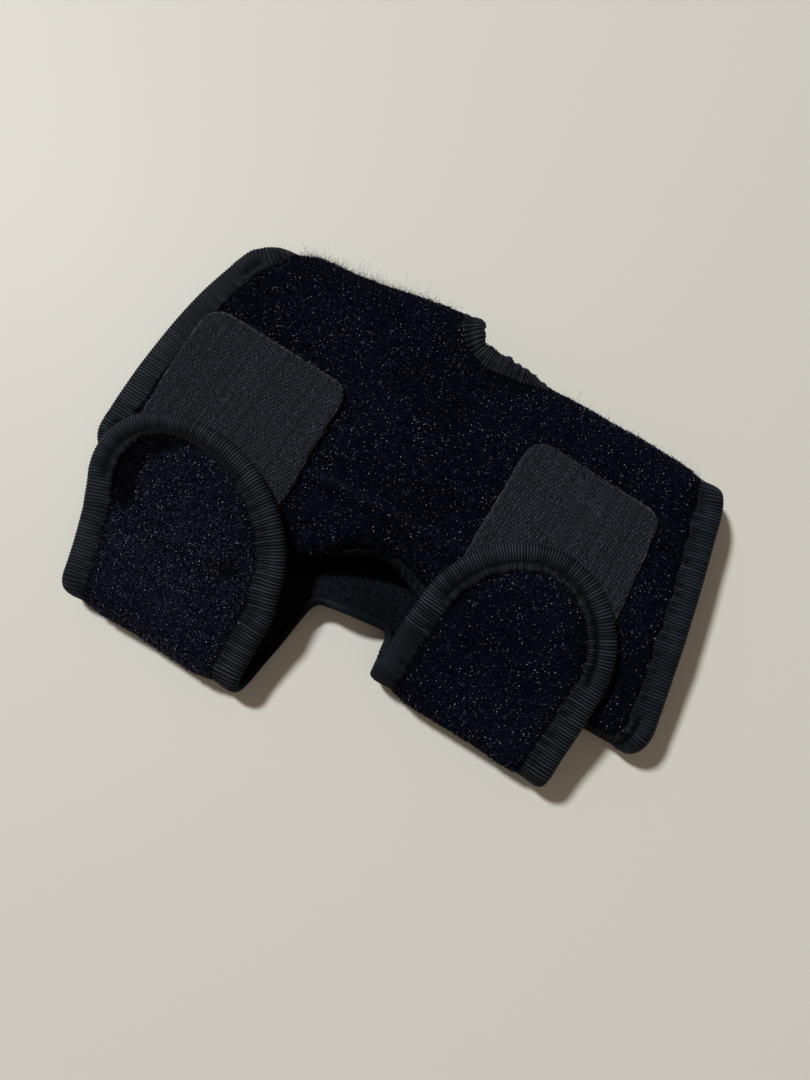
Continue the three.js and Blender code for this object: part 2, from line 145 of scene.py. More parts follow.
def roll_length(x):
    """Cloth past the line where the free edge starts to roll under, so that seen from above it still ends at free_y."""
    k = roll_share(x)
    return ROLL["r"] * np.arcsin(k) / k + (2.8 + 2.8 * (1 - smooth(2, 22, x)) + 2.0 * smooth(70, 80, x)) * smooth(0.85, 1, k)


def rolled(x, y):
    """Height and place of the upper layer at its flat place y, with the curl of the arch and the roll of its edge."""
    share = roll_share(x)
    k = share / ROLL["r"]
    t = np.maximum(0, free_y(x) + ROLL["r"] - y)
    at = y + t - np.sin(k * t) / k
    past = np.maximum(0, (CURL["y"] - at) / CURL["run"])
    curl = CURL["drop"] * np.exp(-(((x - CURL["x"]) / CURL["half"]) ** 2)) * past**1.6
    return at, upper_plain(x, at) - curl * (1 - 0.85 * share) - (1 - np.cos(k * t)) / k


ON_TOP = PANEL_THICK + TAB_THICK + 2 * TAB_GAP


def strap_z(x, y):
    y0, y1 = turn_y(x), -22.0
    join = upper_plain(x, y1) + ON_TOP
    h = y1 - y0
    t = np.maximum(0, (y - y0) / h)
    u = 1 - t
    m1 = (upper_plain(x, y1 + 0.5) - upper_plain(x, y1 - 0.5)) * h
    low = (Z_LOW + 2 * strap(x, "r")) * u * u * (1 + 2 * t) + join * t * t * (3 - 2 * t) + t * u * (0.12 * h * u - m1 * t)
    return np.where(y >= y1, upper_plain(x, y) + ON_TOP, low)


def along(layer, x, y):
    if layer == "upper":
        return y - 2 * spine_y(x) - math.pi * r_fold(x)
    if layer == "spine":
        return -spine_y(x) - math.pi * r_fold(x) / 2
    if layer == "lower":
        return -np.asarray(y, float) + 0 * np.asarray(x)
    if layer == "turn":
        return -turn_y(x) + math.pi * strap(x, "r") / 2
    return y - 2 * turn_y(x) + math.pi * strap(x, "r")


UPPER, SPINE, LOWER, TURN, STRAP = range(5)


def cloth(x, w):
    """Points of the panel's middle surface and the layer each lies on."""
    x, w = np.asarray(x, float), np.asarray(w, float)
    yc, r = spine_y(x), r_fold(x)
    back = -yc - w
    yt, rt = turn_y(x), strap(x, "r")
    on = w + yt
    yu, ys = yc - (back - math.pi * r), yt + (on - math.pi * rt)
    kind = np.where(back > math.pi * r, UPPER, np.where(back > 0, SPINE, np.where(on > math.pi * rt, STRAP, np.where(on > 0, TURN, LOWER))))
    yu, zu = rolled(x, yu)
    y = np.select([kind == UPPER, kind == SPINE, kind == STRAP, kind == TURN], [yu, yc + r * np.sin(back / r), ys, yt - rt * np.sin(on / rt)], -w)
    z = np.select(
        [kind == UPPER, kind == SPINE, kind == STRAP, kind == TURN],
        [zu, Z_LOW + r * (1 - np.cos(back / r)), strap_z(x, ys), Z_LOW + rt * (1 - np.cos(on / rt))],
        Z_LOW + 10.0 * np.exp(-(((x + 3) / 15) ** 2)) * smooth(17, 37, w) * (1 - smooth(41, 60, w)),  # the notch's edge stands off the floor
    )
    return np.stack([x, y, z], -1), kind


def cloth_normal(x, w, e=0.6):
    dx = cloth(x + e, w)[0] - cloth(x - e, w)[0]
    dw = cloth(x, w + e)[0] - cloth(x, w - e)[0]
    n = np.cross(dx, dw)
    return n / np.linalg.norm(n, axis=-1, keepdims=True)


# ---- the flat outline --------------------------------------------------------
def flat(rows):
    return np.array([(x, float(along(layer, np.float64(x), y))) for layer, y, x in rows])


def spaced(points, n):
    s = np.concatenate([[0], np.cumsum(np.linalg.norm(np.diff(points, axis=0), axis=1))])
    t = np.linspace(0, s[-1], n)
    return np.stack([np.interp(t, s, points[:, k]) for k in range(points.shape[1])], -1)


def spline(rows):
    p = flat(rows)
    n, out = len(p), []
    for t in np.linspace(0, n - 1, 1600):
        i = min(int(t), n - 2)
        f = t - i
        p0, p1, p2, p3 = p[max(i - 1, 0)], p[i], p[i + 1], p[min(i + 2, n - 1)]
        v0, v1 = (p2 - p0) / 2, (p3 - p1) / 2
        out.append((2 * p1 - 2 * p2 + v0 + v1) * f**3 + (-3 * p1 + 3 * p2 - 2 * v0 - v1) * f**2 + v0 * f + p1)
    return spaced(np.array(out), 400)


def free_edge():
    x = np.linspace(LEFT_EDGE[-1][2], RIGHT_EDGE[0][2], 401)
    return np.stack([x, along("upper", x, free_y(x) + ROLL["r"] - roll_length(x))], -1)


def round_end(s, a0, a1):
    a = np.linspace(a0, a1, 260)
    c, v = np.cos(a), np.sin(a)
    y = s["cy"] + s["height"] * np.sign(v) * np.abs(v) ** (2 / s["power"])
    x = s["cx"] + s["half"] * np.sign(c) * np.abs(c) ** (2 / s["power"]) + s["lean"] * (y - s["cy"])
    return np.stack([x, along("strap", x, y)], -1)


def close_loop(runs):
    def trim(p, r):
        s = np.concatenate([[0], np.cumsum(np.linalg.norm(np.diff(p, axis=0), axis=1))])
        cut = np.array([np.interp(r, s, p[:, 0]), np.interp(r, s, p[:, 1])])
        return np.vstack([cut, p[s > r + 1e-6]])

    loop = []
    for i, (points, r) in enumerate(runs):
        before, after = runs[i - 1][1], runs[(i + 1) % len(runs)][0]
        p = trim(points, before) if before else points
        if r:
            p = trim(p[::-1], r)[::-1]
        loop.append(p)
        if r:
            a, b, c, k = p[-1], trim(after, r)[0], (points[-1] + after[0]) / 2, 0.5523
            t = np.linspace(0, 1, 26)[1:-1, None]
            loop.append((1 - t) ** 3 * a + 3 * (1 - t) ** 2 * t * (a + (c - a) * k) + 3 * (1 - t) * t**2 * (b + (c - b) * k) + t**3 * b)
    loop = np.vstack(loop)
    keep = np.linalg.norm(loop - np.roll(loop, -1, axis=0), axis=1) > 1e-3
    return loop[keep]


NOTCH = [("lower", Y_NOTCH + 2.6, 15.2), ("lower", Y_NOTCH - 1, -13.6)]
OUTLINE = close_loop([
    (free_edge(), CORNER_R),
    (spline(RIGHT_EDGE), 0),
    (round_end(STRAPS["right"], 0, math.pi), 0),
    (spline(RIGHT_STRAP_INNER), NOTCH_R),
    (spaced(flat(NOTCH), 60), NOTCH_R),
    (spline(LEFT_STRAP_INNER), 0),
    (round_end(STRAPS["left"], -0.12, math.pi), 0),
    (spline(LEFT_EDGE), CORNER_R),
])


def evenly(loop, step):
    closed = np.vstack([loop, loop[:1]])
    length = np.linalg.norm(np.diff(closed, axis=0), axis=1).sum()
    return spaced(closed, int(round(length / step)) + 1)[:-1], length


def into(loop):
    """Unit direction into the cloth, on the left of the loop, smoothed over its neighbours."""
    t = np.roll(loop, -2, axis=0) - np.roll(loop, 2, axis=0)
    t /= np.linalg.norm(t, axis=1, keepdims=True)
    return np.stack([-t[:, 1], t[:, 0]], -1)


HOLE_EDGE = np.array([
    (19.6, 2.5), (18.2, -0.6), (15.0, -2.4), (11.5, -4.0), (8.0, -5.9), (4.5, -7.8), (1.0, -9.4), (-2.5, -10.2), (-5.6, -10.0), (-8.2, -7.6),
    (-9.8, -3.6), (-10.4, 1.5), (-10.0, 8.0), (-7.6, 14.5), (-2.5, 19.6), (4.5, 21.8), (11.5, 20.0), (17.0, 14.8), (19.6, 8.5),
])


def hole_circle(n=720):
    """The hole's edge as a smooth closed curve through its table of x and distance past the spine."""
    m = len(HOLE_EDGE)
    t = np.arange(n) * m / n
    i = t.astype(int)
    f = (t - i)[:, None]
    a, b, c, e = (HOLE_EDGE[(i + k) % m] for k in (-1, 0, 1, 2))
    q = b + 0.5 * f * (c - a + f * (2 * a - 5 * b + 4 * c - e + f * (3 * (b - c) + e - a)))
    return np.stack([q[:, 0], along("spine", q[:, 0], 0) + q[:, 1]], -1)


def across(loop):
    """Direction into the cloth that lies square to the loop on the folded surface, of unit length there."""
    t = np.roll(loop, -2, axis=0) - np.roll(loop, 2, axis=0)
    x, w = loop.T
    px, pw = cloth(x + 0.5, w)[0] - cloth(x - 0.5, w)[0], cloth(x, w + 0.5)[0] - cloth(x, w - 0.5)[0]
    a, b, c = (px * px).sum(1), (px * pw).sum(1), (pw * pw).sum(1)
    n = np.stack([-(b * t[:, 0] + c * t[:, 1]), a * t[:, 0] + b * t[:, 1]], -1)
    return n / np.sqrt(a * n[:, 0] ** 2 + 2 * b * n[:, 0] * n[:, 1] + c * n[:, 1] ** 2)[:, None]


def inside(p, loop):
    odd = np.zeros(len(p), bool)
    b = np.roll(loop, 1, axis=0)
    for (ax, ay), (bx, by) in zip(loop, b):
        if ay == by:
            continue
        cross = ((ay > p[:, 1]) != (by > p[:, 1])) & (p[:, 0] < (bx - ax) * (p[:, 1] - ay) / (by - ay) + ax)
        odd ^= cross
    return odd


def edge_distance(p, loops):
    best = np.full(len(p), 1e9)
    for loop in loops:
        a, b = loop, np.roll(loop, -1, axis=0)
        ab = b - a
        for i in range(0, len(p), 1500):
            q = p[i : i + 1500, None, :] - a[None]
            t = np.clip((q * ab).sum(-1) / (ab * ab).sum(-1), 0, 1)
            best[i : i + 1500] = np.minimum(best[i : i + 1500], np.linalg.norm(q - t[..., None] * ab, axis=-1).min(1))
    return best


# ---- meshes ------------------------------------------------------------------
def new_mesh(name, v, faces, materials, index=None, smooth_shade=True, colour=None):
    """One object from arrays: v in model millimetres, faces as an (n, 3) or (n, 4) array."""
    v = (np.asarray(v) - ORIGIN) * MM
    v[:, 2] = np.maximum(v[:, 2], 0.00002)
    faces = np.asarray(faces, np.int32)
    n, k = faces.shape
    me = bpy.data.meshes.new(name)
    me.vertices.add(len(v))
    me.vertices.foreach_set("co", v.astype(np.float32).ravel())
    me.loops.add(n * k)
    me.loops.foreach_set("vertex_index", faces.ravel())
    me.polygons.add(n)
    me.polygons.foreach_set("loop_start", np.arange(0, n * k, k, dtype=np.int32))
    me.polygons.foreach_set("use_smooth", np.full(n, smooth_shade, bool))
    for m in materials:
        me.materials.append(m)
    if index is not None:
        me.polygons.foreach_set("material_index", np.asarray(index, np.int32))
    if colour is not None:
        a = me.color_attributes.new("tone", "FLOAT_COLOR", "POINT")
        rgba = np.ones((len(v), 4), np.float32)
        rgba[:, :3] = np.asarray(colour, np.float32).reshape(len(v), -1)
        a.data.foreach_set("color", rgba.ravel())
    me.update(calc_edges=True)
    o = bpy.data.objects.new(name, me)
    bpy.context.scene.collection.objects.link(o)
    return o


def waves(p, table):
    """A slow uneven swell: rows of (wavelength, direction in degrees, phase, size)."""
    out = np.zeros(len(p))
    for length, angle, phase, size in table:
        a = math.radians(angle)
        out += size * np.sin(2 * math.pi * (p[:, 0] * math.cos(a) + p[:, 1] * math.sin(a)) / length + phase)
    return out


SWELL = [(71, 20, 0.4, 0.30), (47, 115, 1.9, 0.22), (33, 64, 3.1, 0.16), (23, 150, 0.7, 0.10), (14.5, 35, 2.2, 0.06), (10.5, 98, 5.0, 0.05)]


def polyline_distance(p, line):
    line = np.asarray(line, float)
    best = np.full(len(p), 1e9)
    for a, b in zip(line[:-1], line[1:]):
        ab = b - a
        t = np.clip(((p - a) @ ab) / (ab @ ab), 0, 1)
        best = np.minimum(best, np.linalg.norm(p - a - t[:, None] * ab, axis=1))
    return best


# Pressed lines in the cloth, as x, y rows on one layer: where sewing or an edge below shows through.
LEFT_TAB_EDGE = [(-81.0, -39), (-84.0, -30), (-83.0, -22.5), (-77.5, -15.8), (-70.0, -12.0), (-60.0, -12.0), (-48.0, -16.5), (-40.5, -22.5), (-38.0, -30)]
LEFT_TAB_SEAM = [(-81.0, -46.4), (-66.0, -45.2), (-52.0, -44.0), (-36.5, -42.8)]
LEFT_PULLS = [(-40.5, -41.5, 3.4, 0.9), (-40.0, -36.0, 2.8, 0.7), (-40.5, -30.5, 2.4, 0.45), (-44.5, -43.5, 2.8, 0.5), (-90.0, -35.5, 3.0, 0.7), (-88.5, -43.5, 3.0, 0.6), (-79.0, -17.0, 3.2, 0.5)]  # x, y, half width, depth
RIGHT_TAB_EDGE = [(30.5, -16), (32.0, -7.5), (37.5, 0.5), (46.0, 6.6), (55.0, 8.4), (64.0, 5.0), (71.0, -3.0), (75.5, -13)]
CREASE = [(-40, -2.5), (-31, -0.9), (-16, 0.5), (0, 0.1), (12, 0.0), (24, 0.4)]
CREASE_2 = [(-12, -6.2), (0, -5.0), (12, -5.6), (24, -8.5)]


def lip_end(x, y, kind):
    """How far in the tape's lip shows: the pile of the left strap's end covers it sooner."""
    left = (kind == STRAP) * (x < 0) * smooth(-33, -22, y) * smooth(-92, -82, x) * (1 - smooth(-54, -42, x))
    by_hole = ((kind == UPPER) | (kind == SPINE)) * (np.abs(x - 4) < 30) * (y > 45)
    return 9.0 - 2.7 * left - 0.9 * (kind == STRAP) * (x > 0) * smooth(-22, -12, y) - 1.9 * by_hole


def relief(x, w, p, kind, d):
    """How far the loop face stands off the middle surface: pressed flat under the tape, full in the field, with swells, creases and pressed lines."""
    xy = p[:, :2]
    start = lip_end(x, p[:, 1], kind)
    rise = 0.7 + 1.0 * smooth(start - 2.2, start + 0.4, d) + 0.55 * smooth(start, start + 6.5, d) - 0.25 * smooth(20, 34, d)
    out = rise.copy()
    # shade, the colour factor of the loop face: painted shade in the valley between the tape and the pile, darkest at
    # the lip.
    shade = 0.40 + 0.60 * smooth(start - 0.4, start + 2.4, d)
    field = smooth(9.5, 15, d)
    out += field * waves(xy, SWELL) * np.select([kind == UPPER, kind == SPINE, kind == STRAP, kind == TURN], [1.0, 0.9, 0.75, 0.8], 0.0)
    up, st = (kind == UPPER).astype(float), (kind == STRAP).astype(float)
    fade = smooth(-42, -28, x) * (1 - smooth(22, 34, x))
    ridge, below = np.exp(-((polyline_distance(xy, CREASE) / 1.3) ** 2)), np.exp(-((polyline_distance(xy + [0, 3.6], CREASE) / 2.4) ** 2))
    ridge_2 = np.exp(-((polyline_distance(xy, CREASE_2) / 1.3) ** 2))
    out += up * fade * (1.0 * ridge - 0.6 * below + 0.4 * ridge_2)
    # Painted highlight along the crease's ridge and painted shade just below it, where the cloth turns away from the
    # light.
    shade *= 1 + up * fade * (0.9 * ridge + 0.35 * ridge_2 - 0.3 * below)
    left, right = st * (x < 0), st * (x > 0)
    on = polyline_distance(xy, LEFT_TAB_EDGE) * np.where(inside(xy, np.array([*LEFT_TAB_EDGE, (-34, -80), (-86, -80)])), 1, -1)
    beside = left * smooth(-46, -37, xy[:, 1]) * (1 - smooth(-2.0, 1.8, on)) * (1 - smooth(-46, -38, x))  # lower beside the tab below
    pressed = 0.85 * beside + left * (0.3 * np.exp(-((on / 1.4) ** 2)) + 0.3 * np.exp(-((polyline_distance(xy, LEFT_TAB_SEAM) / 1.4) ** 2)))
    for px, py, half, depth in LEFT_PULLS:
        pressed += left * depth * np.exp(-((x - px) ** 2 + (xy[:, 1] - py) ** 2) / half**2)
    pressed += right * 0.8 * np.exp(-((polyline_distance(xy, RIGHT_TAB_EDGE) / 1.8) ** 2))
    out -= pressed
    # Darker along the pressed lines and pulls: partly the parted pile, partly painted shade in the grooves.
    shade *= 1 - 0.72 * np.clip(pressed, 0, 1)
    # Painted shade in the recessed band on the left strap, between the tape and the pressed outline of the tab below.
    shade *= 1 - 0.62 * beside
    shade *= 1 + 0.3 * waves(xy + 31, SWELL)
    # Painted sheen: the left strap's pile made lighter all over.
    shade *= np.where(left > 0, 1.35, 1.0)
    return out, np.clip(shade, 0.12, 2.0)


def panel_points(step):
    loops = [evenly(OUTLINE, step)[0], evenly(hole_circle(), step)[0]]
    points, edges = [], []
    for loop in loops:
        base = sum(len(q) for q in points)
        points.append(loop)
        edges += [(base + i, base + (i + 1) % len(loop)) for i in range(len(loop))]
    wide = [evenly(OUTLINE, 3.0)[0], evenly(hole_circle(), 3.0)[0]]
    for depth in (2.4, 4.6, 6.6, 8.2, 9.4, 10.7, 12.2):
        for loop in loops:
            ring = loop + into(loop) * depth
            ring = ring[inside(ring, loops[0])]
            points.append(ring[edge_distance(ring, wide) > depth - 0.25])
    low, high = OUTLINE.min(0), OUTLINE.max(0)
    rows = np.arange(low[1], high[1], step * 0.87)
    grid = np.concatenate([np.stack([np.arange(low[0], high[0], step) + (i % 2) * step / 2, np.full(len(np.arange(low[0], high[0], step)), r)], -1) for i, r in enumerate(rows)])
    grid = grid[inside(grid, loops[0]) & ~inside(grid, loops[1])]
    points.append(grid[edge_distance(grid, wide) > 12.2 + 0.6 * step])
    return np.vstack(points), edges, loops


def build_panel(materials, step=1.75):
    points, edges, loops = panel_points(step)
    got, _, tris, *_ = delaunay_2d_cdt([tuple(p) for p in points], edges, [], 0, 1e-4)
    flat_points = np.array([tuple(p) for p in got])
    tris = np.array([t for t in tris], np.int64)
    mid = flat_points[tris].mean(1)
    tris = tris[inside(mid, loops[0]) & ~inside(mid, loops[1])]
    a, b, c = (flat_points[tris[:, k]] for k in range(3))
    turn = (b[:, 0] - a[:, 0]) * (c[:, 1] - a[:, 1]) - (b[:, 1] - a[:, 1]) * (c[:, 0] - a[:, 0]) < 0
    tris[turn] = tris[turn][:, ::-1]
    used = np.unique(tris)
    number = np.full(len(flat_points), -1)
    number[used] = np.arange(len(used))
    flat_points, tris = flat_points[used], number[tris]
    x, w = flat_points.T
    d = edge_distance(flat_points, loops)
    p, kind = cloth(x, w)
    n = cloth_normal(x, w)
    off, shade = relief(x, w, p, kind, d)
    outer = p + n * off[:, None]
    inner = p - n * (0.7 + 0.95 * smooth(1.8, 4.0, d))[:, None]
    count = len(p)
    seen = {}
    for t in tris:
        for k in range(3):
            u, v = int(t[k]), int(t[(k + 1) % 3])
            if (v, u) in seen:
                del seen[(v, u)]
            else:
                seen[(u, v)] = True
    wall = np.array([f for u, v in seen for f in ((u, count + u, count + v), (u, count + v, v))], np.int64)
    faces = np.vstack([tris, tris[:, ::-1] + count, wall])
    index = np.concatenate([np.zeros(len(tris)), np.ones(len(tris)), np.ones(len(wall))])
    # lined, the lining's tone: painted shade, darker deep in the hollow and darkest on the inside of the upper layer
    # and spine.
    deep = smooth(0, 5, p[:, 1] + 26 - 0.555 * (x + 10))  # no light reaches far into the hollow
    lined = np.select([kind == LOWER, kind <= SPINE], [0.88 - 0.81 * deep, 0.1], 0.6)
    o = new_mesh("panel_cloth", np.vstack([outer, inner]), faces, materials, index, colour=np.concatenate([shade, lined]) / 2)
    area = np.linalg.norm(np.cross(np.c_[b - a, np.zeros(len(a))], np.c_[c - a, np.zeros(len(a))]), axis=1).sum() / 2
    return o, dict(outer=outer, normal=n, kind=kind, d=d, shade=shade, xw=flat_points, tris=tris, area=area)


# The folded tape's section, from its lip on the loop face over the edge to its lip inside: d from the panel's edge, h off the middle,
# rib the share of the ribs' height that shows there. It lies flat along straight edges, and puckers into a bead and a lip round the ends.
TAPE_FLAT = np.array([
    (9.0, 0.85, 0.0), (9.15, 1.42, 0.55), (7.6, 1.60, 0.8), (6.2, 1.66, 0.9), (4.8, 1.80, 0.95), (3.2, 1.98, 1.0), (1.4, 1.98, 1.0), (-0.2, 1.55, 1.0),
    (-1.05, 0.70, 1.0), (-1.1, -0.45, 1.0), (-0.5, -1.30, 0.9), (0.4, -1.62, 0.6), (1.5, -1.55, 0.4), (1.6, -0.95, 0.0), (0.0, -0.85, 0.0), (0.0, 0.85, 0.0),
])
TAPE_ROUND = np.array([
    (8.6, 0.80, 0.0), (8.7, 1.30, 0.7), (7.5, 1.86, 1.0), (6.3, 1.62, 0.8), (5.35, 1.15, 0.5), (4.4, 1.80, 1.0), (2.4, 2.45, 1.0), (0.2, 2.25, 1.0),
    (-1.05, 1.10, 1.0), (-1.2, -0.30, 1.0), (-0.6, -1.25, 0.9), (0.4, -1.62, 0.6), (1.5, -1.55, 0.4), (1.6, -0.95, 0.0), (0.0, -0.85, 0.0), (0.0, 0.85, 0.0),
])


def build_tape(name, loop_points, material, gathered):
    pitch = RIB_PITCH * (0.9 if gathered else 1.0)
    _, length = evenly(loop_points, 1.0)
    ribs = int(round(length / pitch))
    loop, _ = evenly(loop_points, length / (ribs * 4))
    n_loop = len(loop)
    d_in, facing = across(loop), into(loop)
    for _ in range(10):  # evens out the direction where short curves meet
        d_in, facing = ((np.roll(v, 1, axis=0) + 2 * v + np.roll(v, -1, axis=0)) / 4 for v in (d_in, facing))
    u = np.arange(n_loop) * length / n_loop
    turn = 2 * math.pi * u / length

    def drift(waves_per_loop, seed):  # slow uneven change round the loop
        r = np.random.default_rng(seed)
        return sum(r.normal() * np.sin(k * turn + r.uniform(0, 6.28)) for k in waves_per_loop) / math.sqrt(len(waves_per_loop))

    heading = np.unwrap(np.arctan2(facing[:, 1], facing[:, 0]))
    bend = np.gradient(np.concatenate([heading[-60:] - math.copysign(2 * math.pi, heading[-1] - heading[0]), heading, heading[:60] + math.copysign(2 * math.pi, heading[-1] - heading[0])]))
    bend = np.convolve(bend, np.ones(41) / 41, "same")[60:-60] / (length / n_loop)
    lx, lw = loop.T
    on_left = (lw > 0) * (lx < 0)
    curved = smooth(0.010, 0.026, bend) * (1 - 0.75 * on_left * smooth(-54, -42, lx))
    tight = np.clip(0.66 / np.maximum(bend, 1e-3), 3.0, 60.0)  # at corners the lip stops short of the bend's centre
    uneven = np.random.default_rng(17).uniform(0.6, 1.25, ribs)[np.round(ribs * u / length).astype(int) % ribs]
    notch = (np.abs(lx) < 30) * (lw > 15) * (1 - smooth(64, 86, lw))
    arch = smooth(-52, -44, lx) * (1 - smooth(46, 54, lx)) * (lw < -140)
    corner = 0.55 * smooth(-70, -84, lx) * smooth(-40, -55, lw) * smooth(-140, -108, lw)
    plain_share = np.clip(0.35 * smooth(88, 98, lx) + 0.4 * (lw > 0) * smooth(-76, -84, lx) + 0.85 * notch + 0.8 * arch + corner, 0, 0.9)  # where the ribs lie flatter
    # dim: the tape a little darker by the left end of the spine; painted shade on the tape in the notch, darkest on its
    # left side, and under the arch's left half, where it lies in shadow.
    dim = 1 - 0.3 * corner - notch * (0.18 + 0.55 * smooth(-6, -14, lx)) - arch * (0.92 - 0.85 * smooth(-2, 10, lx))
    rib = (0.5 + 0.5 * np.cos(2 * math.pi * ribs * u / length)) ** 0.7
    wide = 0.25 + 0.75 * smooth(88, 98, loop[:, 0])  # the lip waves most along the right edge
    scallop = 0.85 * wide * np.sin(2 * math.pi * u / 13.1 + 1.6 * drift(range(2, 9), 8)) + 0.22 * drift(range(41, 160, 9), 9) + 0.16 * drift(range(200, 520, 23), 13)
    fat = 1 + 0.045 * drift(range(4, 50, 3), 10)
    lift = 0.10 * drift(range(30, 90, 5), 11)
    pucker = 0.16 * drift(range(90, 260, 13), 12)
    blotch = drift(range(70, 420, 19), 23)
    verts = np.zeros((n_loop, len(TAPE_FLAT), 3))
    shown = np.zeros((n_loop, len(TAPE_FLAT)))
    lump = np.sin(2 * math.pi * u / 4.9 + 1.3 * drift(range(2, 8), 21))
    lump_2 = np.sin(2 * math.pi * u / 10.3 + 2.0 + drift(range(2, 6), 22))
    for j, (flat_row, round_row) in enumerate(zip(TAPE_FLAT, TAPE_ROUND)):
        d, h, share = (a + (b - a) * (0.55 if gathered else curved) for a, b in zip(flat_row, round_row))
        d, h, share = (np.broadcast_to(v, n_loop) for v in (d, h, share))
        if flat_row[0] > 5 and not gathered:
            at_left = curved * on_left * smooth(-42, -54, lx) * smooth(-98, -90, lx)
            d = d - at_left * (d - 5.0) * 0.45
            d = np.where(d > tight, tight + 0.1 * (d - tight), d)
        top = flat_row[1] > 0 and flat_row[2] > 0
        dd = d + (scallop * np.clip((d - 5) / 4, 0, 1.1) if flat_row[0] > 5 else 0)
        hh = h * fat + share * 0.28 * (rib * (0.5 + 0.5 * uneven) - 0.6) + ((lift + pucker * smooth(4, 8, d)) if top else 0)
        out = np.where(d < 0.5, -share * 0.15 * (rib - 0.5), 0)
        if gathered:
            edge = 1 - smooth(-1.5, 8.0, d)
            out = out - edge * (0.25 * lump + 0.40 * lump_2)
            hh = hh + (0.20 * lump + 0.22 * lump_2) * (0.2 + 0.8 * edge) * (1.0 if top else 0.3)
            dd = np.where(dd > 0, dd * 0.80, dd)
        at = loop + d_in * (dd + out)[:, None]
        p, _ = cloth(at[:, 0], at[:, 1])
        n = cloth_normal(at[:, 0], at[:, 1])
        verts[:, j] = p + n * hh[:, None]
        # Painted shade in the groove between the bead and the lip where the tape rounds an end.
        groove = 1 - curved * 0.8 * np.exp(-(((d - 5.3) / 0.8) ** 2)) * top
        # Blotches darken the lip; on the left strap's top arc the lip below the bead also gets painted shade.
        tone_and_painted_light = 1 - smooth(4.4, 6.0, d) * top * (1 - np.clip(0.84 + 0.36 * blotch, 0.2, 1.25))
        tone_and_painted_light = tone_and_painted_light * (1 - 0.9 * curved * on_left * smooth(-42, -54, lx) * smooth(-100, -92, lx) * smooth(4.3, 5.2, d) * top)
        # shown, the tape's tone: painted highlight on the rib tops and painted shade between them, on top of the ribs'
        # uneven tone, times the blotches and the painted shade worked out above.
        shown[:, j] = np.clip((0.02 + 0.98 * (rib**1.8 * share * uneven * (1 - plain_share) + plain_share * 0.5)) * groove * tone_and_painted_light * dim * (0.4 if not flat_row[2] else 1), 0, 1)
    k = len(TAPE_FLAT)
    i, j = np.meshgrid(np.arange(n_loop), np.arange(k), indexing="ij")
    i2, j2 = (i + 1) % n_loop, (j + 1) % k
    faces = np.stack([i * k + j, i * k + j2, i2 * k + j2, i2 * k + j], -1).reshape(-1, 4)
    return new_mesh(name, verts.reshape(-1, 3), faces, [material], colour=shown.ravel()), length


